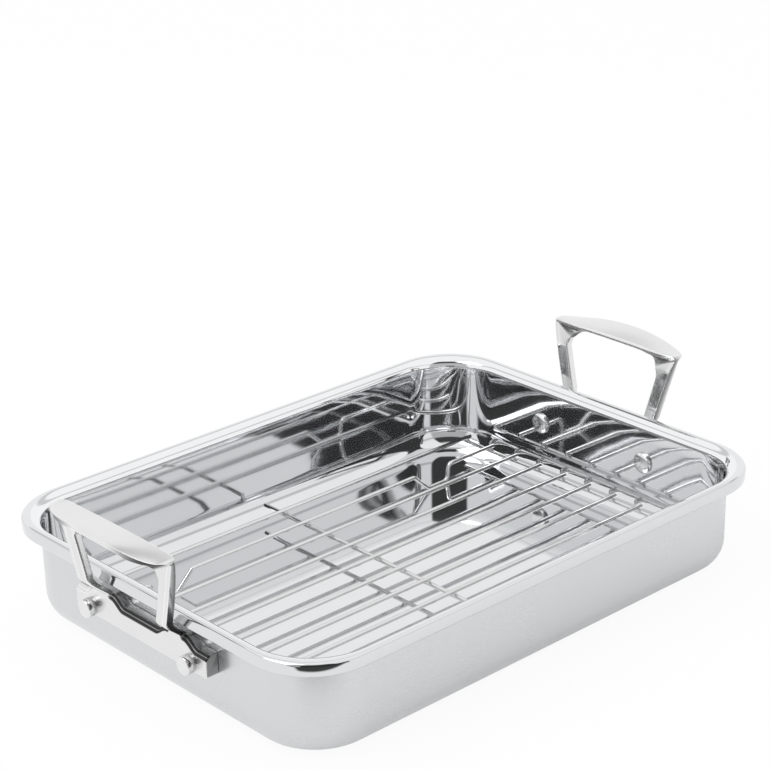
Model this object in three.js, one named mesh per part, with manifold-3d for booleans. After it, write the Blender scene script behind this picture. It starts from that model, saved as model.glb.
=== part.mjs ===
// Roasting pan with riveted cast handles and a lift-out wire rack.
// Millimetres, +Z up. X runs along the pan, Y across it, origin at the centre of the flat base.
import * as THREE from 'three';
import { mergeVertices } from 'three/addons/utils/BufferGeometryUtils.js';
import Module from 'manifold-3d';

// Pan, drawn from one sheet, with a rim that turns out and down
const rimLength = 400;
const rimWidth = 300;
const panHeight = 68.8;
const rimCornerRadius = 44;
const wallCornerRadius = 43;
const sheet = 1.5;
const rimOverhang = 8.5;
const rimInnerRound = 7;
const rimOuterRound = 2;
const lipDrop = 8.8;
const lipCurl = 1.8;
const baseRound = 17.5;
const wallDraft = 0.3;

// Handles, one casting each: a base bar on the end wall, two legs and a leaf-shaped grip
const barLength = 126;
const barBottom = 34.5;
const barHeight = 14.5;
const barThickness = 9;
const barEdge = 0.8;
const shoulderRise = 5.5;
const shoulderWidth = 16;
const shoulderRun = 11;
const legRimGap = 6.2;
const legThickness = 6;
const legLean = 0.067;
const legRootSpacing = 70;
const legRootDepth = 9;
const legWidth = 10;
const legSplay = 0.275;
const legFlare = 0.02;
const rootFlare = 1;
const rootFlareRise = 12;
const swingDrop = 10;
const swingRise = 6;
const gripHeight = 112.2;
const gripArch = 0.8;
const gripTilt = 2;
const gripCrown = 6;
const gripDepth = 6;
const gripBulge = 15.5;
const leafFullness = 2.4;
const gripEdge = 3;
const keelWidth = 6;
const keelShare = 0.55;
const tipRound = 4;
const tipTaper = 4;
const tipTaperStart = 0.8;
const cornerRound = 12;

// Rivets, two through each handle
const rivetSpacing = 96;
const rivetHeight = 39;
const shankDiameter = 6;
const outerHeadDiameter = 13;
const outerHeadHeight = 3;
const innerHeadDiameter = 15;
const innerHeadHeight = 3;
const innerHeadEdge = 0.6;

// Rack, round wires welded at their crossings
const wireDiameter = 3;
const longWires = 10;
const footWireIndex = 1;
const outerWireGap = 34.2;
const rackEndGap = 13.4;
const longWireHeight = 13;
const wireEndOverhang = 3;
const midWireGap = 12.5;
const footSetback = 45;
const footLength = 19;
const footSlopeRun = 13;
const footUprightLean = 1.5;
const wireBend = 4.5;

// Fit
const seatGap = 0.3;

// Facet counts
const cornerSteps = 9;
const roundSteps = 5;
const legSteps = 11;
const gripSteps = 6;
const rivetSides = 20;
const wireSides = 8;

// Values that follow from the sizes above
const halfLength = rimLength / 2;
const halfWidth = rimWidth / 2;
const endWallOutside = halfLength - rimOverhang;
const endWallInside = endWallOutside - sheet;
const sideWallInside = halfWidth - rimOverhang - sheet;
const lipBottom = panHeight - lipDrop;
const barBack = endWallOutside + seatGap;
const barFront = endWallOutside + barThickness;
const barTop = barBottom + barHeight;
const shoulderTop = barTop + shoulderRise;
const cornerStart = gripHeight - gripDepth - cornerRound;
const wireRadius = wireDiameter / 2;
const longWireZ = sheet + longWireHeight;
const crossWireZ = longWireZ - wireDiameter - seatGap;
const footWireZ = sheet + seatGap + wireRadius;
const rackHalfLength = endWallInside - rackEndGap;
const outerWireY = sideWallInside - outerWireGap;

const steel = new THREE.MeshStandardMaterial({ color: 0xd3d5d6, roughness: 0.28, metalness: 1 });
const castSteel = new THREE.MeshStandardMaterial({ color: 0xe2e2e1, roughness: 0.32, metalness: 1 });
const polishedSteel = new THREE.MeshStandardMaterial({ color: 0xd9d9d8, roughness: 0.12, metalness: 1 });
const wireSteel = new THREE.MeshStandardMaterial({ color: 0xdcdcdb, roughness: 0.15, metalness: 1 });

const wasm = await Module();
wasm.setup();

function solid(geometry) {
  const bare = new THREE.BufferGeometry();
  bare.setAttribute('position', geometry.getAttribute('position').clone());
  if (geometry.index) bare.setIndex(geometry.index.clone());
  const merged = mergeVertices(bare, 1e-4);
  return new wasm.Manifold(new wasm.Mesh({
    numProp: 3,
    vertProperties: new Float32Array(merged.getAttribute('position').array),
    triVerts: new Uint32Array(merged.index.array),
  }));
}

function geometryOf(manifold) {
  const mesh = manifold.getMesh();
  const geometry = new THREE.BufferGeometry();
  geometry.setAttribute('position', new THREE.BufferAttribute(new Float32Array(mesh.vertProperties), 3));
  geometry.setIndex(new THREE.BufferAttribute(new Uint32Array(mesh.triVerts), 1));
  geometry.computeVertexNormals();
  return geometry;
}

// Points on an arc in a profile plane, angles in degrees.
function arc(centreU, centreV, radius, from, to, steps = roundSteps) {
  const points = [];
  for (let i = 0; i <= steps; i += 1) {
    const angle = THREE.MathUtils.degToRad(THREE.MathUtils.lerp(from, to, i / steps));
    points.push([centreU + radius * Math.cos(angle), centreV + radius * Math.sin(angle)]);
  }
  return points;
}

// Replaces each corner of a path by a round of about the given radius, limited by the runs beside it.
function roundCorners(corners, radius) {
  const longestShare = 0.48;
  const points = [corners[0]];
  for (let i = 1; i < corners.length - 1; i += 1) {
    const back = corners[i - 1].clone().sub(corners[i]);
    const ahead = corners[i + 1].clone().sub(corners[i]);
    const halfAngle = back.angleTo(ahead) / 2;
    const shorterRun = Math.min(back.length(), ahead.length());
    const reach = Math.min(radius / Math.tan(halfAngle), longestShare * shorterRun);
    const start = corners[i].clone().addScaledVector(back.normalize(), reach);
    const end = corners[i].clone().addScaledVector(ahead.normalize(), reach);
    const bend = new THREE.QuadraticBezierCurve3(start, corners[i], end);
    points.push(...bend.getPoints(roundSteps));
  }
  points.push(corners[corners.length - 1]);
  return points;
}

// A closed skin through loops that all have the same number of points, with a flat cap on each end.
function loft(loops) {
  const count = loops[0].length;
  const positions = loops.flat().flatMap((point) => point.toArray());
  const faces = [];
  const last = (loops.length - 1) * count;
  for (let j = 1; j < count - 1; j += 1) {
    faces.push(0, j, j + 1);
    faces.push(last, last + j + 1, last + j);
  }
  for (let i = 0; i < loops.length - 1; i += 1) {
    for (let j = 0; j < count; j += 1) {
      const a = i * count + j;
      const b = i * count + ((j + 1) % count);
      faces.push(a, b + count, b, a, a + count, b + count);
    }
  }
  const geometry = new THREE.BufferGeometry();
  geometry.setAttribute('position', new THREE.Float32BufferAttribute(positions, 3));
  geometry.setIndex(faces);
  return geometry;
}

// One loop of the pan at an inset from the rim's edge. The corners turn wider on the wall than a
// plain offset of the rim's corners, so the rim is broadest there.
function panLoop([inset, z]) {
  const widening = wallCornerRadius - (rimCornerRadius - rimOverhang);
  const radius = rimCornerRadius - inset + widening * Math.min(1, inset / rimOverhang);
  const centreX = halfLength - inset - radius;
  const centreY = halfWidth - inset - radius;
  const quarters = [[1, 1, 0], [-1, 1, 90], [-1, -1, 180], [1, -1, 270]];
  return quarters.flatMap(([signX, signY, from]) => (
    arc(signX * centreX, signY * centreY, radius, from, from + 90, cornerSteps)
      .map(([x, y]) => new THREE.Vector3(x, y, z))
  ));
}

// The pan's section as insets and heights, from the inside floor up the wall, over the rim, under it
// and down to the base.
function panProfile() {
  const baseCentre = rimOverhang + wallDraft + baseRound;
  const rimBend = Math.min(rimInnerRound, rimOverhang + sheet - rimOuterRound);
  const bendCentre = rimOverhang + sheet - rimBend;
  const bendZ = panHeight - rimBend;
  const roundZ = panHeight - rimOuterRound;
  const curlZ = lipBottom + lipCurl;
  return [
    ...arc(baseCentre, baseRound, baseRound - sheet, 270, 180, roundSteps + 1),
    ...arc(bendCentre, bendZ, rimBend, 0, 90),
    ...arc(rimOuterRound, roundZ, rimOuterRound, 90, 180, roundSteps + 1),
    ...arc(lipCurl, curlZ, lipCurl, 180, 270, roundSteps - 1),
    ...arc(lipCurl, curlZ, lipCurl - sheet, 270, 180, roundSteps - 1),
    ...arc(rimOuterRound, roundZ, rimOuterRound - sheet, 180, 90),
    ...arc(bendCentre, bendZ, rimBend - sheet, 90, 0, roundSteps - 1),
    ...arc(baseCentre, baseRound, baseRound, 180, 270, roundSteps + 1),
  ];
}

function rivetPlaces() {
  return [['back', rivetSpacing / 2], ['front', -rivetSpacing / 2]];
}

// A round bar along X, used to drill the rivet holes through the end walls and the handles.
function rivetDrill(y, from, to) {
  const hole = new THREE.CylinderGeometry(
    shankDiameter / 2 + seatGap, shankDiameter / 2 + seatGap, to - from, rivetSides,
  );
  hole.rotateZ(Math.PI / 2);
  hole.translate((from + to) / 2, y, rivetHeight);
  return solid(hole);
}

function panBody() {
  let body = solid(loft(panProfile().map(panLoop)));
  const drillReach = 2 * sheet;
  for (const [, y] of rivetPlaces()) {
    for (const side of [-1, 1]) {
      const ends = [side * (endWallInside - drillReach), side * (endWallOutside + drillReach)];
      body = body.subtract(rivetDrill(y, Math.min(...ends), Math.max(...ends)));
    }
  }
  return geometryOf(body);
}

// The base bar's outline: flat below, with a shoulder that swells up under each leg.
function barOutline() {
  const half = barLength / 2;
  const swell = shoulderRun / 2;
  const outline = new THREE.Shape();
  outline.moveTo(-half, barBottom);
  outline.lineTo(half, barBottom);
  outline.lineTo(half, barTop);
  for (const middle of [legRootSpacing / 2, -legRootSpacing / 2]) {
    const right = middle + shoulderWidth / 2;
    const left = middle - shoulderWidth / 2;
    outline.lineTo(right + shoulderRun, barTop);
    outline.bezierCurveTo(right + swell, barTop, right + swell, shoulderTop, right, shoulderTop);
    outline.lineTo(left, shoulderTop);
    outline.bezierCurveTo(left - swell, shoulderTop, left - swell, barTop, left - shoulderRun, barTop);
  }
  outline.lineTo(-half, barTop);
  outline.closePath();
  return outline;
}

function baseBar() {
  const bar = new THREE.ExtrudeGeometry(barOutline(), {
    depth: barFront - barBack - 2 * barEdge,
    bevelEnabled: true,
    bevelThickness: barEdge,
    bevelSize: barEdge,
    bevelOffset: -barEdge,
    bevelSegments: 1,
    curveSegments: roundSteps,
  });
  const acrossUpOut = new THREE.Matrix4().makeBasis(
    new THREE.Vector3(0, 1, 0), new THREE.Vector3(0, 0, 1), new THREE.Vector3(1, 0, 0),
  );
  bar.applyMatrix4(acrossUpOut);
  bar.translate(barBack + barEdge, 0, 0);
  return solid(bar);
}

// X of a leg's face towards the pan. It leaves the bar, swings out round the lip and leans on outwards.
function legNear(z) {
  const start = (barBack + barFront - legThickness) / 2;
  const end = halfLength + legRimGap;
  const swing = THREE.MathUtils.smoothstep(z, lipBottom - swingDrop, lipBottom + swingRise);
  return THREE.MathUtils.lerp(start, end, swing) + legLean * Math.max(0, z - panHeight);
}

// Y of a leg's two sides, towards the finger opening and away from it. The leg is broadest at its root.
function legSides(z) {
  const rise = z - shoulderTop;
  const middle = legRootSpacing / 2 + legSplay * rise;
  const spread = rootFlare * (1 - THREE.MathUtils.smoothstep(rise, 0, rootFlareRise)) ** 2;
  const half = (legWidth + legFlare * rise) / 2 + spread;
  return [middle - half, middle + half];
}

// X of the outside edge's corner towards the pan, which rounds off as it nears the grip's tips.
function edgeNear(near, reach) {
  const tapered = Math.min(1, Math.max(0, reach - tipTaperStart) / (1 - tipTaperStart));
  return near + tipTaper * (1 - Math.sqrt(1 - tapered ** 2));
}

// One section of the handle's upper frame, from a point on its outside edge to a point on the finger
// opening. Each end has an X for the face towards the pan and one for the face away from it.
function frameSection(edge, edgeX, opening, openingX, lift) {
  const edgeShare = Math.min(gripEdge / edge.distanceTo(opening), 1 / 2);
  const place = (x, share, rise) => {
    const spot = edge.clone().lerp(opening, share);
    return spot.set(x, spot.y, spot.z + rise);
  };
  return [
    place(edgeX[0], 0, 0),
    place(edgeX[1], 0, lift),
    place(edgeX[1], edgeShare, lift),
    place(openingX[1], 1, 0),
    place(openingX[0], 1, 0),
    place(edgeX[0], edgeShare, 0),
  ];
}

// Sections up one leg, from inside the base bar to the start of the corner.
function legSections() {
  const [, tipY] = legSides(gripHeight);
  const sections = [];
  for (let i = 0; i <= legSteps; i += 1) {
    const z = THREE.MathUtils.lerp(shoulderTop - legRootDepth, cornerStart, i / legSteps);
    const [openingY, edgeY] = legSides(z);
    const near = legNear(z);
    const far = near + legThickness;
    const edge = new THREE.Vector3(0, edgeY, z);
    const opening = new THREE.Vector3(0, openingY, z);
    sections.push(frameSection(edge, [edgeNear(near, edgeY / tipY), far], opening, [near, far], 0));
  }
  return sections;
}

// Sections round the corner and along the grip as far as its middle. In plan the grip is a leaf: its
// edge towards the pan is straight but rounds off at the tips, and its outer edge is a full half oval.
function gripSections() {
  const [openingY, edgeY] = legSides(cornerStart);
  const [, tipY] = legSides(gripHeight);
  const gripStartY = openingY - cornerRound;
  const topAt = (y) => gripHeight + gripArch * (1 - (y / tipY) ** 2);
  const edges = roundCorners([
    new THREE.Vector3(0, edgeY, cornerStart),
    new THREE.Vector3(0, tipY, gripHeight),
    new THREE.Vector3(0, gripStartY, topAt(gripStartY)),
  ], tipRound).slice(1);
  const cornerCount = edges.length;
  const openings = arc(gripStartY, cornerStart, cornerRound, 0, 90, cornerCount).slice(1)
    .map(([y, z]) => new THREE.Vector3(0, y, z));
  for (let i = 1; i <= gripSteps; i += 1) {
    const y = gripStartY * (1 - i / gripSteps);
    edges.push(new THREE.Vector3(0, y, topAt(y)));
    openings.push(new THREE.Vector3(0, y, topAt(y) - gripDepth));
  }
  return edges.map((edge, i) => {
    const turned = Math.min(1, (i + 1) / cornerCount);
    const level = THREE.MathUtils.smoothstep(edge.z, gripHeight - tipRound, gripHeight);
    const reach = edge.y / tipY;
    const leaf = level * Math.sqrt(Math.max(0, 1 - reach ** leafFullness));
    const near = legNear(edge.z);
    const far = near + legThickness;
    const outer = far + gripBulge * leaf;
    const keel = THREE.MathUtils.lerp(near, outer, keelShare);
    const openingX = [
      THREE.MathUtils.lerp(near, keel - keelWidth / 2, turned),
      THREE.MathUtils.lerp(far, keel + keelWidth / 2, turned),
    ];
    const lift = leaf * (gripTilt - gripCrown * reach ** 2);
    return frameSection(edge, [edgeNear(near, reach), outer], openings[i], openingX, lift);
  });
}

// Both legs and the grip as one bent bar, made by mirroring one half across Y.
function handleFrame() {
  const half = [...legSections(), ...gripSections()];
  const flip = ({ x, y, z }) => new THREE.Vector3(x, -y, z);
  const otherHalf = half.slice(0, -1).reverse().map((section) => section.map(flip));
  return solid(loft([...half, ...otherHalf]));
}

function handle() {
  let casting = baseBar().add(handleFrame());
  for (const [, y] of rivetPlaces()) {
    casting = casting.subtract(rivetDrill(y, barBack - barThickness, barFront + barThickness));
  }
  return geometryOf(casting);
}

// A rivet turned about its own axis: a low dome inside the pan, a rounded head outside the bar.
function rivet() {
  const innerSeat = endWallInside - seatGap;
  const outerSeat = barFront + seatGap;
  const shank = shankDiameter / 2;
  const innerHead = innerHeadDiameter / 2;
  const outerHead = outerHeadDiameter / 2;
  const domeRise = innerHeadHeight - innerHeadEdge;
  const headRound = outerHeadHeight / 2;
  const dome = arc(0, 0, 1, 90, 0).map(([radius, rise]) => (
    [innerHead * radius, innerSeat - innerHeadEdge - domeRise * rise]
  ));
  const profile = [
    [0, dome[0][1]],
    ...dome.slice(1),
    [innerHead, innerSeat],
    [shank, innerSeat],
    [shank, outerSeat],
    [outerHead, outerSeat],
    ...arc(outerHead - headRound, outerSeat + outerHeadHeight - headRound, headRound, 0, 90),
    [0, outerSeat + outerHeadHeight],
  ];
  const turned = new THREE.LatheGeometry(profile.map(([r, x]) => new THREE.Vector2(r, x)), rivetSides);
  turned.rotateZ(-Math.PI / 2);
  return geometryOf(solid(turned));
}

function straightWire(length) {
  return new THREE.CylinderGeometry(wireRadius, wireRadius, length, wireSides);
}

// A path whose steps fall on its own points, so that a swept wire keeps every bend.
class BentPath extends THREE.Curve {
  constructor(points) {
    super();
    this.points = points;
  }

  getPoint(t, target = new THREE.Vector3()) {
    const spot = t * (this.points.length - 1);
    const index = Math.min(Math.floor(spot), this.points.length - 2);
    return target.lerpVectors(this.points[index], this.points[index + 1], spot - index);
  }

  getUtoTmapping(u) {
    return u;
  }
}

// A long wire with a foot near each end: it slopes down from the middle and comes up steeply outside.
function footWire() {
  const upright = rackHalfLength - footSetback;
  const outside = [
    [rackHalfLength, longWireZ],
    [upright, longWireZ],
    [upright - footUprightLean, footWireZ],
    [upright - footUprightLean - footLength, footWireZ],
    [upright - footUprightLean - footLength - footSlopeRun, longWireZ],
  ];
  const left = outside.map(([x, z]) => new THREE.Vector3(-x, 0, z));
  const right = outside.map(([x, z]) => new THREE.Vector3(x, 0, z)).reverse();
  const path = new BentPath(roundCorners([...left, ...right], wireBend));
  const section = new THREE.Shape();
  section.absarc(0, 0, wireRadius, 0, 2 * Math.PI);
  return new THREE.ExtrudeGeometry(section, {
    steps: path.points.length - 1,
    curveSegments: wireSides / 2,
    extrudePath: path,
  });
}

const roastingPan = new THREE.Group();

function addPiece(parent, name, geometry, material) {
  const mesh = new THREE.Mesh(geometry, material);
  mesh.name = name;
  parent.add(mesh);
  return mesh;
}

addPiece(roastingPan, 'pan_body', panBody(), steel);

for (const [end, turn] of [['right', 0], ['left', Math.PI]]) {
  const endGroup = new THREE.Group();
  endGroup.rotation.z = turn;
  addPiece(endGroup, `handle_${end}`, handle(), castSteel);
  for (const [place, y] of rivetPlaces()) {
    const fastener = addPiece(endGroup, `rivet_${end}_${place}`, rivet(), polishedSteel);
    fastener.position.set(0, turn ? -y : y, rivetHeight);
  }
  roastingPan.add(endGroup);
}

const rack = new THREE.Group();
let straightCount = 0;
for (let i = 0; i < longWires; i += 1) {
  const y = THREE.MathUtils.lerp(outerWireY, -outerWireY, i / (longWires - 1));
  const hasFeet = i === footWireIndex || i === longWires - 1 - footWireIndex;
  if (hasFeet) {
    const wire = addPiece(rack, `rack_foot_wire_${y > 0 ? 'back' : 'front'}`, footWire(), wireSteel);
    wire.position.y = y;
  } else {
    straightCount += 1;
    const geometry = straightWire(2 * rackHalfLength);
    const wire = addPiece(rack, `rack_long_wire_${straightCount}`, geometry, wireSteel);
    wire.rotation.z = Math.PI / 2;
    wire.position.set(0, y, longWireZ);
  }
}
const endWireX = rackHalfLength - wireEndOverhang;
const endWireLength = 2 * (outerWireY + wireEndOverhang);
const midWireLength = 2 * (sideWallInside - midWireGap);
const crossWires = [
  ['left', -endWireX, endWireLength],
  ['middle', 0, midWireLength],
  ['right', endWireX, endWireLength],
];
for (const [place, x, length] of crossWires) {
  const wire = addPiece(rack, `rack_cross_wire_${place}`, straightWire(length), wireSteel);
  wire.position.set(x, 0, crossWireZ);
}
roastingPan.add(rack);

export default roastingPan;
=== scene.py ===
import math

import bpy
import numpy as np
from mathutils import Matrix, Vector


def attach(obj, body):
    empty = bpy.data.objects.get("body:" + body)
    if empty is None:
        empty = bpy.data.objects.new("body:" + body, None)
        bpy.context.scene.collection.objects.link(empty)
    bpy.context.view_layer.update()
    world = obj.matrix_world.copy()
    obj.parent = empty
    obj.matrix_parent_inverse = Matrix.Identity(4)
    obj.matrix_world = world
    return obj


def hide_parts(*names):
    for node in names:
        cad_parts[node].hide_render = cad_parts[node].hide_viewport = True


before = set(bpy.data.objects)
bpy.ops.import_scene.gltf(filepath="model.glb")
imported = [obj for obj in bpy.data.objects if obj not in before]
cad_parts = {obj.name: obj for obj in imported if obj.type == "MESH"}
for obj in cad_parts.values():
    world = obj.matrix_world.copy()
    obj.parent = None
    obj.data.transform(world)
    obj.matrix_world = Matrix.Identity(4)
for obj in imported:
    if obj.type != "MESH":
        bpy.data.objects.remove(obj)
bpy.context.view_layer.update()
print("frame loaded:", len(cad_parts), "nodes")

mm = 0.001


# Shader maths


class Flow:
    # wraps one socket of a node tree, and arithmetic on it adds Math nodes
    def __init__(self, tree, socket=None):
        self.tree = tree
        self.socket = socket

    def node(self, kind, settings=None, inputs=None, output=0):
        # settings come first, then each input takes a number or a link
        made = self.tree.nodes.new(kind)
        for name, value in (settings or {}).items():
            setattr(made, name, value)
        for name, value in (inputs or {}).items():
            if isinstance(value, Flow):
                self.tree.links.new(value.socket, made.inputs[name])
            else:
                made.inputs[name].default_value = value
        return Flow(self.tree, made.outputs[output])

    def maths(self, operation, *values):
        return self.node("ShaderNodeMath", {"operation": operation}, dict(enumerate(values)))

    def __add__(self, other):
        return self.maths("ADD", self, other)

    def __radd__(self, other):
        return self.maths("ADD", other, self)

    def __sub__(self, other):
        return self.maths("SUBTRACT", self, other)

    def __rsub__(self, other):
        return self.maths("SUBTRACT", other, self)

    def __mul__(self, other):
        return self.maths("MULTIPLY", self, other)

    def __rmul__(self, other):
        return self.maths("MULTIPLY", other, self)

    def between(self, low, high):
        # 0 below low, 1 above high and a smooth rise from one to the other
        settings = {"interpolation_type": "SMOOTHSTEP"}
        inputs = {"Value": self, "From Min": low, "From Max": high}
        return self.node("ShaderNodeMapRange", settings, inputs)

    def around(self, middle, blur):
        return self.between(middle - blur, middle + blur)

    def noise(self, place, scale, detail, roughness):
        inputs = {"Vector": place, "Scale": scale, "Detail": detail, "Roughness": roughness}
        return self.node("ShaderNodeTexNoise", None, inputs)

    def streaks(self, place, scale, detail, roughness):
        # noise drawn out along the axis with the least scale
        stretched = self.node("ShaderNodeMapping", None, {"Vector": place, "Scale": scale})
        return self.noise(stretched, 1.0, detail, roughness)

    def mask(self, name):
        # a value kept on the mesh's points
        return self.node("ShaderNodeAttribute", {"attribute_name": name}, None, "Fac")

    def ray(self, name):
        return self.node("ShaderNodeLightPath", None, None, name)

    def dot(self, direction, axis):
        settings = {"operation": "DOT_PRODUCT"}
        return self.node("ShaderNodeVectorMath", settings, {0: direction, 1: axis}, "Value")

    def mixColour(self, share, first, second):
        inputs = {0: share, 6: first, 7: second}
        return self.node("ShaderNodeMix", {"data_type": "RGBA"}, inputs, 2)


def newFinish(name):
    # an all-metal material, its shader, a Flow to build with and the piece's own coordinates
    finish = bpy.data.materials.new(name)
    finish.use_nodes = True
    tree = finish.node_tree
    shader = tree.nodes["Principled BSDF"]
    shader.inputs["Metallic"].default_value = 1.0
    build = Flow(tree)
    place = build.node("ShaderNodeTexCoord", None, None, "Object")
    return finish, shader, build, place


def feed(shader, name, flow):
    flow.tree.links.new(flow.socket, shader.inputs[name])


def addBump(shader, height, strength, distance):
    inputs = {"Strength": strength, "Distance": distance, "Height": height}
    feed(shader, "Normal", height.node("ShaderNodeBump", None, inputs, "Normal"))


# Finishes


panSteel = {
    "polishedRough": 0.045, "satinRough": 0.23, "smudgeRough": 0.05, "grainRough": 0.02,
    # the two base colours are mixed region by region as painted highlight and painted shade
    "dull": (0.69, 0.70, 0.71, 1), "brightAndPaintedLight": (0.89, 0.895, 0.905, 1),
    "smudged": (0.58, 0.59, 0.60, 1), "smudgeStart": 0.35, "smudgeShare": 0.25,
    "grainScale": (14, 14, 1500), "scratchScale": (900, 30, 30),
    "smudgeScale": 17.0, "rippleScale": 9.0,
    "grainHeight": 0.035, "rippleHeight": 0.9, "scratchHeight": 0.02,
    "bumpStrength": 0.16, "bumpDistance": 0.0004,
}


def makePanFinish(f):
    # one sheet: satin outside with a fine grain round the walls, polished inside, over the rim
    # and down the lip; its base colour is lighter or darker by region, as painted highlight and
    # painted shade
    finish, shader, build, place = newFinish("panSteel")
    polish, brightAndPaintedLight = build.mask("polish"), build.mask("brightAndPaintedLight")
    satin = 1 - polish
    grain = build.streaks(place, f["grainScale"], detail=3, roughness=0.6)
    smudge = build.noise(place, f["smudgeScale"], detail=4, roughness=0.55)
    ripple = build.noise(place, f["rippleScale"], detail=1, roughness=0.4)
    scratch = build.streaks(place, f["scratchScale"], detail=2, roughness=0.5)
    roughness = f["polishedRough"] + satin * f["satinRough"] + (smudge - 0.5) * f["smudgeRough"]
    feed(shader, "Roughness", roughness + (grain - 0.5) * satin * f["grainRough"])
    # painted highlight and painted shade: the base colour follows the region mask, not the steel
    paintedLightTone = build.mixColour(brightAndPaintedLight, f["dull"], f["brightAndPaintedLight"])
    smudged = (smudge - f["smudgeStart"]) * f["smudgeShare"]
    feed(shader, "Base Color", build.mixColour(smudged, paintedLightTone, f["smudged"]))
    height = grain * satin * f["grainHeight"] + ripple * polish * f["rippleHeight"]
    height = height + scratch * polish * f["scratchHeight"]
    addBump(shader, height, f["bumpStrength"], f["bumpDistance"])
    return finish


handleSteel = {
    "rough": 0.26, "edgeSmooth": 0.08, "polishSmooth": 0.16, "skinRough": 0.3,
    "brushRough": 0.08, "cloudRough": 0.06,
    "face": (0.80, 0.80, 0.80, 1), "edge": (0.89, 0.89, 0.89, 1),
    "worn": (0.64, 0.64, 0.64, 1), "wornStart": 0.4, "wornShare": 0.3,
    # the near-black of the painted shade and painted reflection on the handle
    "skin": (0.06, 0.06, 0.06, 1),
    "brushScale": (700, 40, 700), "pitScale": 900.0, "cloudScale": 40.0,
    "brushHeight": 0.6, "pitHeight": 0.4, "bumpStrength": 0.14, "bumpDistance": 0.0002,
}


def makeCastFinish(f):
    # cast steel, brushed along the grip, bright on its rounded edges, polished round the leaf,
    # and painted near-black along the bar's chamfer, on its ends, under the grip and on the
    # legs' side edges, as painted shade and painted reflection
    finish, shader, build, place = newFinish("handleSteel")
    edge, polish, skin = build.mask("edge"), build.mask("polish"), build.mask("skin")
    brushed = build.streaks(place, f["brushScale"], detail=3, roughness=0.6)
    pits = build.noise(place, f["pitScale"], detail=2, roughness=0.5)
    cloud = build.noise(place, f["cloudScale"], detail=3, roughness=0.5)
    roughness = f["rough"] - edge * f["edgeSmooth"] - polish * f["polishSmooth"]
    roughness = roughness + skin * f["skinRough"]
    roughness = roughness + (brushed - 0.5) * f["brushRough"] + (cloud - 0.5) * f["cloudRough"]
    feed(shader, "Roughness", roughness)
    shade = build.mixColour(edge, f["face"], f["edge"])
    worn = build.mixColour((cloud - f["wornStart"]) * f["wornShare"], shade, f["worn"])
    # painted shade and painted reflection darken the base colour here
    feed(shader, "Base Color", build.mixColour(skin, worn, f["skin"]))
    height = brushed * f["brushHeight"] + pits * f["pitHeight"]
    addBump(shader, height, f["bumpStrength"], f["bumpDistance"])
    return finish


rivetSteel = {
    "rough": 0.10, "cloudRough": 0.10,
    "light": (0.84, 0.84, 0.84, 1), "dark": (0.70, 0.70, 0.71, 1), "darkShare": 0.5,
    "cloudScale": 260.0, "bumpStrength": 0.10, "bumpDistance": 0.0002,
}


def makeRivetFinish(f):
    # a set rivet: polished, with a faint cloud over it
    finish, shader, build, place = newFinish("rivetSteel")
    cloud = build.noise(place, f["cloudScale"], detail=3, roughness=0.5)
    feed(shader, "Roughness", f["rough"] + cloud * f["cloudRough"])
    feed(shader, "Base Color", build.mixColour(cloud * f["darkShare"], f["light"], f["dark"]))
    addBump(shader, cloud, f["bumpStrength"], f["bumpDistance"])
    return finish


rackPlate = {
    "rough": 0.07, "dullRough": 0.10, "drawnRough": 0.04,
    "brightAndPaintedLight": (0.80, 0.80, 0.80, 1), "dull": (0.64, 0.64, 0.64, 1), "dullShare": 0.4,
    "drawnScale": (30, 1600, 1600), "dullScale": 55.0, "bumpStrength": 0.08, "bumpDistance": 0.0002,
}


def makeWireFinish(f):
    # bright plated wire with faint drawing lines and duller spots
    finish, shader, build, place = newFinish("rackPlate")
    drawn = build.streaks(place, f["drawnScale"], detail=2, roughness=0.5)
    dull = build.noise(place, f["dullScale"], detail=3, roughness=0.55)
    feed(shader, "Roughness", f["rough"] + dull * f["dullRough"] + (drawn - 0.5) * f["drawnRough"])
    feed(shader, "Base Color", build.mixColour(dull * f["dullShare"], f["brightAndPaintedLight"], f["dull"]))
    addBump(shader, drawn, f["bumpStrength"], f["bumpDistance"])
    return finish


panFinish = makePanFinish(panSteel)
castFinish = makeCastFinish(handleSteel)
rivetFinish = makeRivetFinish(rivetSteel)
wireFinish = makeWireFinish(rackPlate)
print("finishes made")


# Surfaces


longestReach = 0.48  # the most of a side that the rounding of one of its corners takes up


def smoothStep(values, low, high):
    # 0 below low, 1 above high and 3 t squared less 2 t cubed between them
    t = np.clip((np.asarray(values, float) - low) / (high - low), 0, 1)
    return t * t * (3 - 2 * t)


def arcPoints(centreU, centreV, radius, start, stop, steps):
    # points at equal angles on a circle, in degrees
    angle = np.radians(np.linspace(start, stop, steps + 1))
    return np.stack([centreU + radius * np.cos(angle), centreV + radius * np.sin(angle)], 1)


def parabola(start, corner, stop, t):
    # leaves start towards the corner and comes from the corner to stop
    return (1 - t) ** 2 * start + 2 * t * (1 - t) * corner + t ** 2 * stop


def gridFaces(rows, columns):
    # quads between neighbouring rows of a grid whose columns close on themselves
    i, j = np.meshgrid(np.arange(rows - 1), np.arange(columns), indexing="ij")
    k = (j + 1) % columns
    row, following = i * columns, (i + 1) * columns
    return np.stack([row + j, row + k, following + k, following + j], -1).reshape(-1, 4)


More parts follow.
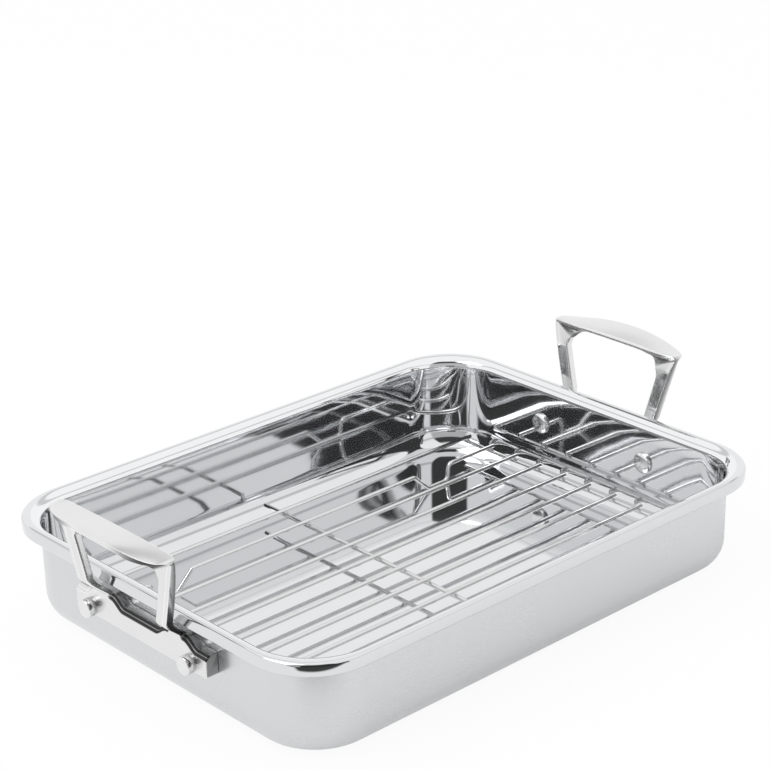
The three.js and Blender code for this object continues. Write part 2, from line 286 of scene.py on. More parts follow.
def addPiece(name, points, faces, finish, body, slot, nodes=(), **masks):
    # points in millimetres become a smooth mesh in metres that rides on a body
    mesh = bpy.data.meshes.new(name)
    mesh.from_pydata((np.asarray(points) * mm).tolist(), [], faces)
    mesh.polygons.foreach_set("use_smooth", np.ones(len(mesh.polygons), bool))
    for maskName, values in masks.items():
        attribute = mesh.attributes.new(maskName, "FLOAT", "POINT")
        attribute.data.foreach_set("value", np.asarray(values, np.float32).ravel())
    mesh.materials.append(finish)
    mesh.update()
    piece = bpy.data.objects.new(name, mesh)
    bpy.context.scene.collection.objects.link(piece)
    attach(piece, body)
    if nodes:
        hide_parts(*nodes)


def closedTube(rings):
    # rings of points joined by quads that face outwards, with a flat face on each end
    rows, columns = rings.shape[:2]
    faces = gridFaces(rows, columns).tolist()
    last = (rows - 1) * columns
    faces.append(list(range(columns))[::-1])
    faces.append(list(range(last, last + columns)))
    return rings.reshape(-1, 3), faces


def roundedRings(cage, reach, steps):
    # each corner of each cage ring becomes a parabola from one of its sides to the other, which
    # it meets at a reach from the corner
    before = np.roll(cage, 1, 1) - cage
    after = np.roll(cage, -1, 1) - cage
    lengthBefore = np.linalg.norm(before, axis=2, keepdims=True)
    lengthAfter = np.linalg.norm(after, axis=2, keepdims=True)
    reach = np.asarray(reach, float).reshape(1, -1, 1)
    start = cage + before * np.minimum(reach / np.maximum(lengthBefore, 1e-6), longestReach)
    stop = cage + after * np.minimum(reach / np.maximum(lengthAfter, 1e-6), longestReach)
    t = np.linspace(0, 1, steps + 1).reshape(1, 1, -1, 1)
    rings = parabola(start[:, :, None], cage[:, :, None], stop[:, :, None], t)
    return rings.reshape(len(cage), -1, 3)


# Pan


pan = {
    "halfLength": 200.0, "halfWidth": 150.0, "height": 68.8, "sheet": 1.5, "floorSheet": 1.0,
    "rimCorner": 44.0, "wallCorner": 43.0, "overhang": 8.5, "rimBend": 7.0, "rimRound": 2.0,
    "lipDrop": 8.8, "lipCurl": 1.8, "baseRound": 17.5, "draft": 0.3,
    "cornerSteps": 22, "sideSteps": 14, "roundSteps": 12, "hollowSteps": 6, "wallSteps": 6,
    "fillShares": (0.02, 0.25, 0.5, 0.75), "wallPolish": 0.95,
    # painted highlight and shade levels by region: brightest on the rim and in the hollow under it,
    # darker on the inside walls and the lip
    "floorBright": 0.48, "wallBright": 0.2, "rimBright": 1.0, "edgeBright": 0.5, "lipBright": 0.2,
    "hollowBright": 1.0, "outsideBright": 0.0,
}


def panProfile(p):
    # inset from the rim's edge and height, from the inside floor up over the rim, back under it
    # and down to the base, with polish and the painted highlight and shade level row by row
    base = p["overhang"] + p["draft"] + p["baseRound"]
    bend = p["overhang"] + p["sheet"] - p["rimBend"]
    bendZ = p["height"] - p["rimBend"]
    roundZ = p["height"] - p["rimRound"]
    curlZ = p["height"] - p["lipDrop"] + p["lipCurl"]
    n, few = p["roundSteps"], p["hollowSteps"]
    inside = arcPoints(base, p["baseRound"], p["baseRound"] - p["sheet"], 270, 180, n)
    thinner = p["sheet"] - p["floorSheet"]
    inside[:, 1] -= thinner * (p["baseRound"] - inside[:, 1]) / (p["baseRound"] - p["sheet"])
    wallTop = np.array([[p["overhang"] + p["sheet"], bendZ]])
    share = np.linspace(0, 1, p["wallSteps"] + 1)[1:-1, None]
    wall = inside[-1] + (wallTop - inside[-1]) * share
    outside = arcPoints(base, p["baseRound"], p["baseRound"], 180, 270, n)
    underTop = np.array([[p["overhang"], bendZ]])
    outsideWall = underTop + (outside[0] - underTop) * share
    parts = [
        inside,
        wall,
        arcPoints(bend, bendZ, p["rimBend"], 0, 90, n),
        arcPoints(p["rimRound"], roundZ, p["rimRound"], 90, 180, n),
        arcPoints(p["lipCurl"], curlZ, p["lipCurl"], 180, 270, few),
        arcPoints(p["lipCurl"], curlZ, p["lipCurl"] - p["sheet"], 270, 180, few),
        arcPoints(p["rimRound"], roundZ, p["rimRound"] - p["sheet"], 180, 90, few),
        arcPoints(bend, bendZ, p["rimBend"] - p["sheet"], 90, 0, few),
        outsideWall,
        outside,
    ]
    profile = np.concatenate(parts)
    ends = np.cumsum([len(part) for part in parts])
    insideEnd, wallEnd, bendEnd, lipEnd, hollowEnd = ends[[0, 1, 2, 4, 7]]
    floorEnd, edgeEnd = insideEnd - n // 2, bendEnd + n // 2
    row = np.arange(len(profile))
    polish = np.where(row < lipEnd, 1.0, 0.0)
    polish[floorEnd:wallEnd + n // 2] = p["wallPolish"]
    bounds = [floorEnd, wallEnd, bendEnd - 2, edgeEnd, lipEnd, hollowEnd]
    levels = [p[k + "Bright"] for k in ("floor", "wall", "rim", "edge", "lip", "hollow")]
    brightAndPaintedLight = np.select([row < bound for bound in bounds], levels, p["outsideBright"])
    return profile, polish, brightAndPaintedLight


def panRings(p, profile):
    # a rounded rectangle at every profile point, its corners wider on the wall than on the rim
    inset, z = profile[:, 0, None, None], profile[:, 1, None, None]
    widening = p["wallCorner"] - (p["rimCorner"] - p["overhang"])
    radius = p["rimCorner"] - inset + widening * np.minimum(1, inset / p["overhang"])
    signX = np.array([1, -1, -1, 1]).reshape(1, 4, 1)
    signY = np.array([1, 1, -1, -1]).reshape(1, 4, 1)
    quarter = np.array([0, 90, 180, 270]).reshape(1, 4, 1)
    angle = np.radians(quarter + np.linspace(0, 90, p["cornerSteps"] + 1))
    x = signX * (p["halfLength"] - inset - radius) + radius * np.cos(angle)
    y = signY * (p["halfWidth"] - inset - radius) + radius * np.sin(angle)
    share = np.linspace(0, 1, p["sideSteps"] + 1)[1:-1].reshape(1, 1, -1)
    nextX, nextY = np.roll(x[:, :, :1], -1, 1), np.roll(y[:, :, :1], -1, 1)
    x = np.concatenate([x, x[:, :, -1:] + (nextX - x[:, :, -1:]) * share], 2)
    y = np.concatenate([y, y[:, :, -1:] + (nextY - y[:, :, -1:]) * share], 2)
    return np.stack([x, y, np.broadcast_to(z, x.shape)], -1).reshape(len(profile), -1, 3)


def makePan(p):
    # the floor and the base are filled by the first and last rings shrunk towards the middle
    profile, polish, brightAndPaintedLight = panProfile(p)
    rings = panRings(p, profile)
    shares = np.array(p["fillShares"]).reshape(-1, 1, 1)
    shrink = shares * np.array([1, 1, 0]) + np.array([0, 0, 1])
    rings = np.concatenate([rings[:1] * shrink, rings, rings[-1:] * shrink[::-1]])
    # polish, and the painted highlight and shade level row by row
    masks = {"polish": polish, "brightAndPaintedLight": brightAndPaintedLight}
    for name, rows in masks.items():
        masks[name] = np.repeat(np.pad(rows, len(shrink), "edge"), rings.shape[1])
    points, faces = closedTube(rings[:, ::-1])
    addPiece("panShell", points, faces, panFinish, "pan", "pan_steel", ["pan_body"], **masks)


makePan(pan)
print("pan made")


# Handles


handle = {
    "barHalf": 63.0, "barBottom": 34.5, "barTop": 49.0, "barBack": 191.6, "barFront": 200.5,
    "barEdge": 0.9, "barChamfer": 3.2, "chamferEdge": 0.35, "backLowEdge": 0.15, "backTopEdge": 0.5,
    "shoulderRise": 5.5, "shoulderWidth": 16.0, "shoulderRun": 11.0,
    "legRim": 206.2, "legThickness": 6.0, "legLean": 0.067, "rootHalf": 35.0, "rootDepth": 9.0,
    "legWidth": 10.0, "legSplay": 0.275, "legFlare": 0.02, "rootFlare": 1.0, "flareRise": 12.0,
    "rootFade": (-1.0, 2.0), "swingLow": 50.0, "swingHigh": 66.0, "rimTop": 68.8,
    "gripHeight": 112.2, "gripArch": 0.8, "gripTilt": 2.0, "gripCrown": 6.0, "gripDepth": 6.0,
    "gripBulge": 15.5, "gripEdge": 3.0, "leafFullness": 2.4, "leafFade": (0.05, 0.3),
    "keelWidth": 6.0, "keelShare": 0.55, "cornerRound": 12.0, "tipRound": 4.0, "tipBend": 0.9,
    "tipTaper": 4.0, "taperStart": 0.8, "tipEdge": 2.6, "tipEdgeFade": (0.4, 0.85),
    "edgeShare": 0.85, "edgeReach": (1.6, 0.6, 0.8, 2.0, 2.0, 2.4),
    "roundSteps": 5, "legSteps": 40, "cornerSteps": 40, "gripSteps": 24, "barSteps": 180,
    "endSteps": 5,
    # levels of painted shade and painted reflection: dark-light-dark lines along the bar's chamfer,
    # its ends, under the grip and on the legs
    "chamferLine": 0.4, "barShadeFade": (-42, -33), "endShade": 0.6,
    "keelShade": (1.0, 0.35), "nearShade": (0.9, 0.3), "tipShadeFade": (14, 42),
    "legShade": 0.12, "legEdgeShade": 0.7, "legSideShade": 0.1,
}


def legNear(h, z):
    # face towards the pan: swings out round the lip, then leans on outwards
    start = (h["barBack"] + h["barFront"] - h["legThickness"]) / 2
    swing = smoothStep(z, h["swingLow"], h["swingHigh"])
    return start + (h["legRim"] - start) * swing + h["legLean"] * np.maximum(0, z - h["rimTop"])


def legSides(h, z):
    # the side towards the finger opening and the side away from it, flaring at the root
    rise = z - h["barTop"] - h["shoulderRise"]
    middle = h["rootHalf"] + h["legSplay"] * rise
    flare = h["rootFlare"] * (1 - smoothStep(rise, 0, h["flareRise"])) ** 2
    half = (h["legWidth"] + h["legFlare"] * rise) / 2 + flare
    return middle - half, middle + half


def tipOutline(h, corner):
    # two straight lines that meet at a corner, with a parabola across it, and the share of their
    # length gone at each point
    lengths = np.linalg.norm(np.diff(corner, axis=0), axis=1)
    reach = h["tipRound"] * h["tipBend"]
    s = np.linspace(0, lengths.sum(), h["cornerSteps"] + 1)[1:]
    early = corner[0] + (corner[1] - corner[0]) * (s / lengths[0])[:, None]
    late = corner[1] + (corner[2] - corner[1]) * ((s - lengths[0]) / lengths[1])[:, None]
    t = np.clip((s - lengths[0] + reach) / (2 * reach), 0, 1)[:, None]
    bendIn = corner[1] + (corner[0] - corner[1]) * reach / lengths[0]
    bendOut = corner[1] + (corner[2] - corner[1]) * reach / lengths[1]
    bend = parabola(bendIn, corner[1], bendOut, t)
    return np.where(t <= 0, early, np.where(t >= 1, late, bend)), s / s[-1]


def frameCage(h):
    # six points a section, up one leg, round the corner to the grip's middle, and mirrored down
    # the other
    cornerStart = h["gripHeight"] - h["gripDepth"] - h["cornerRound"]
    legZ = np.linspace(h["barTop"] + h["shoulderRise"] - h["rootDepth"], cornerStart, h["legSteps"])
    legIn, legOut = legSides(h, legZ)
    tipY = legSides(h, np.array(h["gripHeight"]))[1]
    gripStart = legIn[-1] - h["cornerRound"]
    top = lambda y: h["gripHeight"] + h["gripArch"] * (1 - (y / tipY) ** 2)
    tip = [tipY, h["gripHeight"]]
    corner = np.array([[legOut[-1], cornerStart], tip, [gripStart, top(gripStart)]])
    edge, along = tipOutline(h, corner)
    opening = arcPoints(gripStart, cornerStart, h["cornerRound"], 0, 90, h["cornerSteps"])[1:]
    gripY = np.linspace(gripStart, 0, h["gripSteps"] + 1)[1:]
    edgeY = np.concatenate([legOut, edge[:, 0], gripY])
    edgeZ = np.concatenate([legZ, edge[:, 1], top(gripY)])
    openY = np.concatenate([legIn, opening[:, 0], gripY])
    openZ = np.concatenate([legZ, opening[:, 1], top(gripY) - h["gripDepth"]])
    turned = np.concatenate([np.zeros(len(legZ)), along, np.ones(len(gripY))])
    level = smoothStep(edgeZ, h["gripHeight"] - h["tipRound"], h["gripHeight"]) * (turned > 0)
    spread = edgeY / tipY
    leaf = level * np.sqrt(np.maximum(0, 1 - spread ** h["leafFullness"]))
    near = legNear(h, edgeZ)
    far = near + h["legThickness"]
    outer = far + h["gripBulge"] * leaf
    tapered = np.clip((spread - h["taperStart"]) / (1 - h["taperStart"]), 0, 1)
    nearEdge = near + h["tipTaper"] * (1 - np.sqrt(1 - tapered ** 2))
    keel = near + (outer - near) * h["keelShare"]
    keelNear = near + (keel - h["keelWidth"] / 2 - near) * turned
    keelFar = far + (keel + h["keelWidth"] / 2 - far) * turned
    lift = leaf * (h["gripTilt"] - h["gripCrown"] * spread ** 2)
    depth = h["gripEdge"] + h["tipEdge"] * turned * smoothStep(spread, *h["tipEdgeFade"])
    share = np.minimum(depth / np.hypot(edgeY - openY, edgeZ - openZ), h["edgeShare"])
    midY, midZ = edgeY + (openY - edgeY) * share, edgeZ + (openZ - edgeZ) * share
    cage = np.stack([
        np.stack([nearEdge, edgeY, edgeZ], 1),
        np.stack([outer, edgeY, edgeZ + lift], 1),
        np.stack([outer, midY, midZ + lift], 1),
        np.stack([keelFar, openY, openZ], 1),
        np.stack([keelNear, openY, openZ], 1),
        np.stack([nearEdge, midY, midZ], 1),
    ], 1)
    mirrored = (cage * np.array([1, -1, 1]))[::-1][1:]
    onGrip = smoothStep(leaf, *h["leafFade"])
    return np.concatenate([cage, mirrored]), np.concatenate([onGrip, onGrip[::-1][1:]])


def barCage(h):
    # six points a section along Y, with a chamfered top line that rises at each shoulder, and
    # rounded ends
    half, r = h["barHalf"], h["barEdge"]
    turn = np.radians(np.linspace(0, 90, h["endSteps"] + 1))[1:]
    inner = np.linspace(r - half, half - r, h["barSteps"] + 1)
    y = np.concatenate([(r - half - r * np.sin(turn))[::-1], inner, half - r + r * np.sin(turn)])
    rounding = r * (1 - np.cos(turn))
    shrink = np.concatenate([rounding[::-1], np.zeros(len(inner)), rounding])
    fromLeg = np.abs(np.abs(y) - h["rootHalf"])
    shoulder = 1 - smoothStep(fromLeg - h["shoulderWidth"] / 2, 0, h["shoulderRun"])
    top = h["barTop"] + h["shoulderRise"] * shoulder - shrink
    low = h["barBottom"] + shrink
    back, front = np.full(len(y), h["barBack"]), h["barFront"] - shrink
    besideLeg = smoothStep(fromLeg, *(h["legWidth"] / 2 + offset for offset in h["rootFade"]))
    chamfer = h["barEdge"] + (h["barChamfer"] - h["barEdge"]) * besideLeg
    return np.stack([
        np.stack([back, y, low], 1),
        np.stack([front, y, low], 1),
        np.stack([front, y, top - chamfer], 1),
        np.stack([front - chamfer / 2, y, top - chamfer / 2], 1),
        np.stack([front - chamfer, y, top], 1),
        np.stack([back, y, top], 1),
    ], 1), besideLeg


def frameMasks(h, cage, onGrip):
    # polish and painted shade by corner of the section: one set for the grip and one for the legs,
    # mixed by onGrip
    columns = h["roundSteps"] + 1
    across = np.linspace(0, 1, columns)
    polish = np.outer(onGrip, np.repeat([0, 1, 1, 0, 0, 0], columns))
    polish += np.outer(1 - onGrip, np.repeat([1, 1, 0, 0, 0, 1], columns))
    # painted shade: near-black under the grip and along the lower edges of its tips
    tip = smoothStep(np.abs(cage[:, 2, 1:2]), *h["tipShadeFade"])
    under = np.zeros((len(cage), 6, columns))
    under[:, 1] = tip * across
    under[:, 2] = tip
    under[:, 3] = 1.0
    under[:, 4] = np.linspace(*h["keelShade"], columns)
    under[:, 5] = np.linspace(*h["nearShade"], columns)
    # painted shade and painted reflection on the legs' faces and side edges
    leg = np.zeros((6, columns))
    leg[4, 3:] = leg[5] = leg[0, :2] = h["legShade"]
    leg[0, 2:] = h["legEdgeShade"]
    leg[1, 0] = h["legSideShade"]
    skin = under.reshape(len(cage), -1) * onGrip[:, None] + np.outer(1 - onGrip, leg)
    return polish, skin


def barPaintedShade(h, bar, besideLeg):
    # painted reflection: two dark lines along the chamfer with a lighter line between, that fade
    # out under the legs and at one end, and darker end faces
    across = np.linspace(0, 1, h["roundSteps"] + 1)
    skin = np.zeros((len(bar), 6, len(across)))
    skin[:, 2] = across
    skin[:, 3] = 1 - h["chamferLine"] * np.sin(across * math.pi)
    skin[:, 4] = 1 - across
    skin *= (besideLeg * smoothStep(bar[:, 0, 1], *h["barShadeFade"])).reshape(-1, 1, 1)
    skin[[0, -1]] = h["endShade"]
    return skin


def makeHandle(h, name, node, turn):
    # the bar and the bent frame share one mesh, turned half round for the other end
    steps = h["roundSteps"]
    cage, onGrip = frameCage(h)
    bar, besideLeg = barCage(h)
    barReach = [h["backLowEdge"], h["barEdge"], *[h["chamferEdge"]] * 3, h["backTopEdge"]]
    framePoints, frameFaces = closedTube(roundedRings(cage, h["edgeReach"], steps))
    barPoints, barFaces = closedTube(roundedRings(bar, barReach, steps))
    points = np.concatenate([framePoints, barPoints]) * np.array([turn, turn, 1])
    faces = frameFaces + [[i + len(framePoints) for i in face] for face in barFaces]
    ridge = np.sin(np.linspace(0, math.pi, steps + 1))
    polish, skin = frameMasks(h, cage, onGrip)
    masks = {
        "edge": np.tile(ridge, len(points) // len(ridge)),
        "polish": np.concatenate([polish.ravel(), np.zeros(len(barPoints))]),
        # painted shade and painted reflection on the frame and the bar
        "skin": np.concatenate([skin.ravel(), barPaintedShade(h, bar, besideLeg).ravel()]),
    }
    addPiece(name, points, faces, castFinish, "pan", "handle_steel", [node], **masks)


for end, turn in (("right", 1), ("left", -1)):
    makeHandle(handle, end + "Handle", "handle_" + end, turn)
print("handles made")


# Rivets


rivet = {
    "spacing": 96.0, "height": 39.0, "innerSeat": 189.7, "outerSeat": 200.8, "shank": 3.0,
    "innerRadius": 7.5, "innerRise": 3.0, "innerEdge": 0.6,
    "outerRadius": 5.8, "outerRise": 5.2, "outerEdge": 0.9, "crownRise": 0.25,
    "sides": 40, "domeSteps": 11, "headSteps": 6,
    "poleAngle": 2, "poleRadius": 0.2, "edgeTurn": 75,
}


def rivetProfile(r):
    # radius and X: a low dome inside, a shank, and a round-edged button outside, slightly crowned
    turn = np.radians(np.linspace(r["poleAngle"], 90, r["domeSteps"] + 1))
    dome = np.stack([
        r["innerRadius"] * np.sin(turn),
        r["innerSeat"] - r["innerEdge"] - (r["innerRise"] - r["innerEdge"]) * np.cos(turn),
    ], 1)
    face = r["outerRadius"] - r["outerEdge"]
    cornerX = r["outerSeat"] + r["outerRise"] - r["outerEdge"]
    corner = arcPoints(face, cornerX, r["outerEdge"], 0, r["edgeTurn"], r["headSteps"])
    crown = np.linspace(face, r["poleRadius"], r["headSteps"])[1:]
    crownRise = r["crownRise"] * (1 - (crown / face) ** 2)
    crownX = r["outerSeat"] + r["outerRise"] + crownRise
    head = np.concatenate([corner, np.stack([crown, crownX], 1)])
    middle = np.array([
        [r["innerRadius"], r["innerSeat"]],
        [r["shank"], r["innerSeat"]],
        [r["shank"], r["outerSeat"]],
        [r["outerRadius"], r["outerSeat"]],
    ])
    return np.concatenate([dome, middle, head])


def makeRivet(r, name, node, y, turn):
    # the profile turned round an axis along X
    profile = rivetProfile(r)
    angle = np.linspace(0, 2 * math.pi, r["sides"], endpoint=False)
    radius, x = profile[:, :1], profile[:, 1:]
    rings = np.stack([
        np.broadcast_to(x, (len(profile), r["sides"])) * turn,
        y + radius * np.cos(angle) * turn,
        r["height"] + radius * np.sin(angle),
    ], -1)
    points, faces = closedTube(rings)
    addPiece(name, points, faces, rivetFinish, "pan", "rivet_steel", [node])


for end, turn in (("right", 1), ("left", -1)):
    for place, side in (("back", 1), ("front", -1)):
        y = side * rivet["spacing"] / 2
        makeRivet(rivet, end + place.capitalize() + "Rivet", f"rivet_{end}_{place}", y, turn)
print("rivets made")


# Rack


rack = {
    "radius": 1.5, "longCount": 10, "outerY": 105.8, "halfLength": 176.6,
    "longZ": 15.2, "crossZ": 11.9, "footZ": 2.8,
    "endX": 173.6, "endHalf": 108.8, "midHalf": 127.5,
    "footSetback": 45.0, "footLength": 19.0, "slopeRun": 13.0, "uprightLean": 1.5, "bend": 4.5,
    "sides": 16, "bendSteps": 8, "endSteps": 4, "endTurn": 60, "endShrink": 0.4, "endRise": 0.35,
    "beadRadius": 1.5, "beadRise": 1.25, "beadSides": 12, "beadRows": 7, "beadTurn": 80,
}


def roundedPath(corners, radius, steps):
    # each inner corner of a path in the XZ plane becomes a parabola about that radius
    corners = np.asarray(corners, float)
    inner = corners[1:-1]
    back, ahead = corners[:-2] - inner, corners[2:] - inner
    backLength, aheadLength = np.linalg.norm(back, axis=1), np.linalg.norm(ahead, axis=1)
    half = np.arccos(np.clip((back * ahead).sum(1) / (backLength * aheadLength), -1, 1)) / 2
    reach = np.minimum(radius / np.tan(half), longestReach * np.minimum(backLength, aheadLength))
    start = inner + back * (reach / backLength)[:, None]
    stop = inner + ahead * (reach / aheadLength)[:, None]
    t = np.linspace(0, 1, steps + 1).reshape(1, -1, 1)
    bend = parabola(start[:, None], inner[:, None], stop[:, None], t)
    return np.concatenate([corners[:1], bend.reshape(-1, 2), corners[-1:]])


def wireRings(r, path, side):
    # a circle carried along a path, square to it, with its two cut ends rounded over
    tangent = np.gradient(path, axis=0)
    tangent /= np.linalg.norm(tangent, axis=1, keepdims=True)
    across = np.cross(tangent, side)
    turn = np.radians(np.linspace(0, r["endTurn"], r["endSteps"] + 1))[1:]
    narrow = np.cos(turn) * r["endShrink"] + 1 - r["endShrink"]
    scale = np.concatenate([narrow[::-1], np.ones(len(path)), narrow])
    push = r["endRise"] * r["radius"] * np.sin(turn)
    trimmed = path.copy()
    trimmed[0] += tangent[0] * push[-1]
    trimmed[-1] -= tangent[-1] * push[-1]
    first = (trimmed[0] - tangent[0] * push[:, None])[::-1]
    last = trimmed[-1] + tangent[-1] * push[:, None]
    spine = np.concatenate([first, trimmed, last])
    spineAcross = np.pad(across, ((len(push), len(push)), (0, 0)), "edge")[:, None]
    angle = np.linspace(0, 2 * math.pi, r["sides"], endpoint=False).reshape(1, -1, 1)
    ring = spineAcross * np.cos(angle) + side * np.sin(angle)
    return spine[:, None] + ring * r["radius"] * scale[:, None, None]


def addWire(r, name, node, path, side):
    points, faces = closedTube(wireRings(r, np.asarray(path, float), np.asarray(side, float)))
    addPiece(name, points, faces, wireFinish, "rack", "rack_wire", [node])


def footPath(r, y):
    # along X, down a slope to each foot and steeply up outside it
    upright = r["halfLength"] - r["footSetback"]
    outside = np.array([
        [r["halfLength"], r["longZ"]],
        [upright, r["longZ"]],
        [upright - r["uprightLean"], r["footZ"]],
        [upright - r["uprightLean"] - r["footLength"], r["footZ"]],
        [upright - r["uprightLean"] - r["footLength"] - r["slopeRun"], r["longZ"]],
    ])
    corners = np.concatenate([outside * [-1, 1], outside[::-1]])
    flat = roundedPath(corners, r["bend"], r["bendSteps"])
    return np.stack([flat[:, 0], np.full(len(flat), y), flat[:, 1]], 1)


longY = np.linspace(rack["outerY"], -rack["outerY"], rack["longCount"])
straightCount = 0
for i, y in enumerate(longY):
    if i in (1, rack["longCount"] - 2):
        place = "back" if y > 0 else "front"
        addWire(rack, place + "FootWire", "rack_foot_wire_" + place, footPath(rack, y), (0, 1, 0))
    else:
        straightCount += 1
        ends = [[x, y, rack["longZ"]] for x in (-rack["halfLength"], rack["halfLength"])]
        node = f"rack_long_wire_{straightCount}"
        addWire(rack, f"longWire{straightCount}", node, ends, (0, 1, 0))
crossX = {"left": -rack["endX"], "middle": 0.0, "right": rack["endX"]}
for place, x in crossX.items():
    half = rack["midHalf"] if place == "middle" else rack["endHalf"]
    ends = [[x, y, rack["crossZ"]] for y in (-half, half)]
    addWire(rack, place + "CrossWire", "rack_cross_wire_" + place, ends, (1, 0, 0))


def makeWelds(r):
    # a squat bead at every crossing: an ellipsoid on a grid of two angles, copied to each one
    around = np.linspace(0, 2 * math.pi, r["beadSides"], endpoint=False)
    up = np.radians(np.linspace(-r["beadTurn"], r["beadTurn"], r["beadRows"])).reshape(-1, 1)
    bead = np.stack([
        r["beadRadius"] * np.cos(up) * np.cos(around),
        r["beadRadius"] * np.cos(up) * np.sin(around),
        np.broadcast_to(r["beadRise"] * np.sin(up), (r["beadRows"], r["beadSides"])),
    ], -1)
    points, faces = closedTube(bead)
    x, y = np.meshgrid(list(crossX.values()), longY)
    z = np.full(x.size, (r["longZ"] + r["crossZ"]) / 2)
    spots = np.stack([x.ravel(), y.ravel(), z], 1)
    allPoints = (spots[:, None] + points[None]).reshape(-1, 3)
    firsts = range(0, len(allPoints), len(points))
    allFaces = [[first + i for i in face] for first in firsts for face in faces]
    addPiece("rackWelds", allPoints, allFaces, wireFinish, "rack", "rack_wire")


makeWelds(rack)
print("rack made")


# Stage


studio = {
    "floorHalf": 4.0, "floorColour": (0.90, 0.90, 0.90, 1), "floorGlow": 0.92,
    "frontGlow": 0.3, "frontFade": (-0.25, 0.1),
    "farSide": (0.671, 0.742, 0.0), "acrossSide": (0.742, -0.671, 0.0),
    "tableEdge": 0.327, "tableBlur": 0.01, "doorStart": 0.2, "doorSpread": 0.75, "sideBlur": 0.012,
    "doorFade": (0.77, 0.83), "doorTop": 0.94, "doorDark": 0.06,
    "doorHaze": 0.47, "hazeTop": 0.64, "topBlur": 0.05,
    "secondMirror": (2.3, 2.7),  # ray depth from which a mirroring counts as the second
    "flagNear": 0.30, "flagHalf": 0.075, "flagLow": 0.064, "flagHigh": 0.145,
    "flagColour": (0.02, 0.02, 0.02, 1), "flagRough": 0.9,
    "seamLow": 0.54, "seamHigh": 0.66, "seamBlur": 0.03, "seamDark": 0.35, "roomLevel": 0.95,
}


def makeFloor(s):
    # white paper; mirrored in the steel it ends at the table's edge in front, with a dark doorway
    # beyond
    half = s["floorHalf"]
    mesh = bpy.data.meshes.new("floor")
    corners = [(-half, -half, 0), (half, -half, 0), (half, half, 0), (-half, half, 0)]
    mesh.from_pydata(corners, [], [(0, 1, 2, 3)])
    floor = bpy.data.objects.new("floor", mesh)
    bpy.context.scene.collection.objects.link(floor)
    paper = bpy.data.materials.new("paper")
    paper.use_nodes = True
    tree = paper.node_tree
    tree.nodes.clear()
    build = Flow(tree)
    seen = build.ray("Is Camera Ray")
    mirrored = build.ray("Is Glossy Ray")
    passed = build.ray("Is Transmission Ray")
    place = build.node("ShaderNodeTexCoord", None, None, "Object")
    near = 0 - build.dot(place, s["farSide"])
    across = build.dot(place, s["acrossSide"])
    beside = across.maths("ABSOLUTE", across) - (near - s["doorStart"]) * s["doorSpread"]
    doorway = near.around(s["tableEdge"], s["tableBlur"]) * (1 - beside.around(0, s["sideBlur"]))
    paperShade = build.node("ShaderNodeBsdfDiffuse", None, {"Color": s["floorColour"]})
    white = build.node("ShaderNodeEmission", None, {"Color": (1, 1, 1, 1), "Strength": 1.0})
    dim = {"Color": (1, 1, 1, 1), "Strength": s["doorDark"]}
    dark = build.node("ShaderNodeEmission", None, dim)
    front = across.between(*s["frontFade"])
    share = seen * s["floorGlow"] + (mirrored + passed) * (1 - front * (1 - s["frontGlow"]))
    lit = build.node("ShaderNodeMixShader", None, {0: share, 1: paperShade, 2: white})
    shown = build.node("ShaderNodeMixShader", None, {0: doorway * mirrored, 1: lit, 2: dark})
    out = tree.nodes.new("ShaderNodeOutputMaterial")
    tree.links.new(shown.socket, out.inputs["Surface"])
    mesh.materials.append(paper)


def makeFlag(s):
    # a small black card upright before the near corner of the rim, seen only in reflections
    far, across = np.array(s["farSide"]), np.array(s["acrossSide"])
    middle = -far * s["flagNear"]
    ends = [middle - across * s["flagHalf"], middle + across * s["flagHalf"]]
    low = [point + np.array([0, 0, s["flagLow"]]) for point in ends]
    high = [point + np.array([0, 0, s["flagHigh"]]) for point in ends[::-1]]
    mesh = bpy.data.meshes.new("flag")
    mesh.from_pydata([tuple(point) for point in low + high], [], [(0, 1, 2, 3)])
    flag = bpy.data.objects.new("flag", mesh)
    bpy.context.scene.collection.objects.link(flag)
    flag.visible_camera = flag.visible_diffuse = False
    flag.visible_shadow = flag.visible_transmission = False
    card = bpy.data.materials.new("blackCard")
    card.use_nodes = True
    shader = card.node_tree.nodes["Principled BSDF"]
    shader.inputs["Base Color"].default_value = s["flagColour"]
    shader.inputs["Roughness"].default_value = s["flagRough"]
    mesh.materials.append(card)


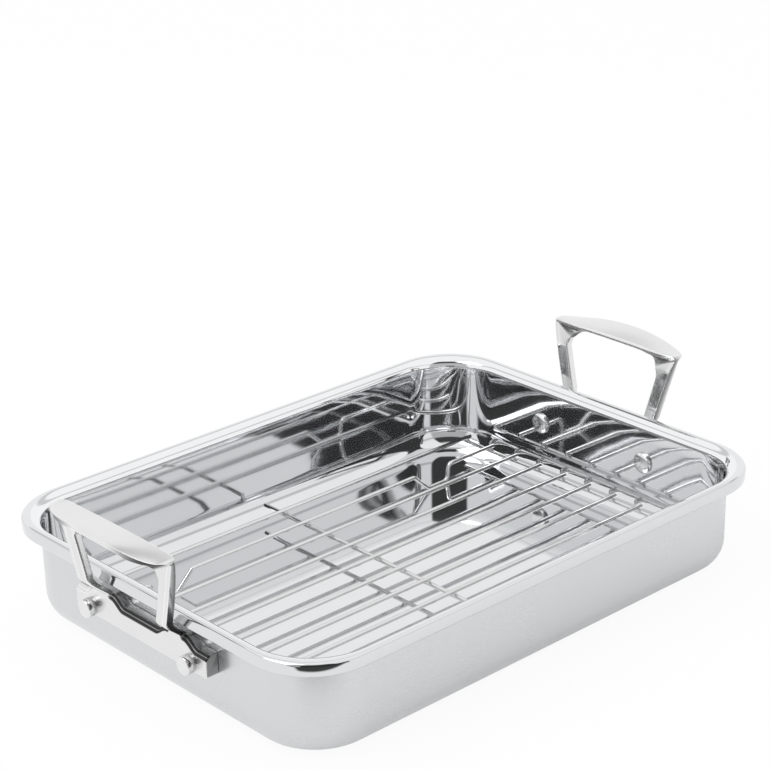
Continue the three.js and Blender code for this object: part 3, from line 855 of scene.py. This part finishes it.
def makeWorld(s):
    # a white room with a dim seam round it, and a dark doorway behind the camera that only the
    # steel mirrors: dark at a second mirroring, and hazy below its upper part at the first, so
    # that no flat face turns black from behind
    world = bpy.data.worlds.new("studio")
    bpy.context.scene.world = world
    world.use_nodes = True
    tree = world.node_tree
    build = Flow(tree)
    seen = build.ray("Is Camera Ray")
    mirrored = build.ray("Is Glossy Ray")
    passed = build.ray("Is Transmission Ray")
    direction = build.node("ShaderNodeTexCoord", None, None, "Generated")
    flat = {0: direction, 1: (1, 1, 0)}
    level = build.node("ShaderNodeVectorMath", {"operation": "MULTIPLY"}, flat)
    heading = build.node("ShaderNodeVectorMath", {"operation": "NORMALIZE"}, {0: level})
    far = build.dot(heading, s["farSide"])
    height = build.node("ShaderNodeSeparateXYZ", None, {0: direction}, "Z")
    doorway = (0 - far).between(*s["doorFade"]) * (1 - height.around(s["doorTop"], s["topBlur"]))
    again = build.ray("Ray Depth").between(*s["secondMirror"])
    haze = (1 - again) * (1 - height.around(s["hazeTop"], s["topBlur"])) * s["doorHaze"]
    aboveSeam = height.around(s["seamHigh"], s["seamBlur"])
    seam = height.around(s["seamLow"], s["seamBlur"]) * (1 - aboveSeam)
    gloom = doorway * (1 - s["doorDark"] - haze) + seam * (1 - doorway) * s["seamDark"]
    shown = seen + mirrored + passed
    strength = s["roomLevel"] + shown * (1 - s["roomLevel"]) - (mirrored + passed) * gloom
    background = tree.nodes["Background"]
    background.inputs["Color"].default_value = (1, 1, 1, 1)
    tree.links.new(strength.socket, background.inputs["Strength"])


softbox = {"place": (-1.1, 0.3, 1.9), "target": (0, 0, 0), "size": (1.2, 1.2), "power": 12.0}


def addLamp(name, b):
    lamp = bpy.data.lights.new(name, "AREA")
    lamp.shape = "RECTANGLE"
    lamp.size, lamp.size_y = b["size"]
    lamp.energy = b["power"]
    holder = bpy.data.objects.new(name, lamp)
    aim = (Vector(b["target"]) - Vector(b["place"])).to_track_quat("-Z", "Y")
    holder.matrix_world = Matrix.Translation(b["place"]) @ aim.to_matrix().to_4x4()
    bpy.context.scene.collection.objects.link(holder)


camera = {
    "azimuth": -42.127, "elevation": 22.468, "roll": -1.173,
    "lens": 103.6, "sensor": 36.0, "reach": 50.0, "place": (-0.8602, -0.9488, 0.6678),
}


def makeCamera(c):
    # the photograph's viewing angle, solved from the rim's outline
    azimuth, elevation, roll = (math.radians(c[k]) for k in ("azimuth", "elevation", "roll"))
    level = math.cos(elevation)
    back = Vector((math.sin(azimuth) * level, -math.cos(azimuth) * level, math.sin(elevation)))
    right = Vector((math.cos(azimuth), math.sin(azimuth), 0))
    up = back.cross(right)
    turnedRight = right * math.cos(roll) + up * math.sin(roll)
    turnedUp = up * math.cos(roll) - right * math.sin(roll)
    data = bpy.data.cameras.new("camera")
    data.lens = c["lens"]
    data.sensor_width = c["sensor"]
    data.clip_end = c["reach"]
    holder = bpy.data.objects.new("camera", data)
    axes = Matrix((turnedRight, turnedUp, back)).transposed().to_4x4()
    holder.matrix_world = Matrix.Translation(c["place"]) @ axes
    bpy.context.scene.collection.objects.link(holder)
    bpy.context.scene.camera = holder


makeFloor(studio)
makeFlag(studio)
makeWorld(studio)
addLamp("softboxLeft", softbox)
makeCamera(camera)
bpy.context.scene.view_settings.view_transform = "Standard"
print("stage set")
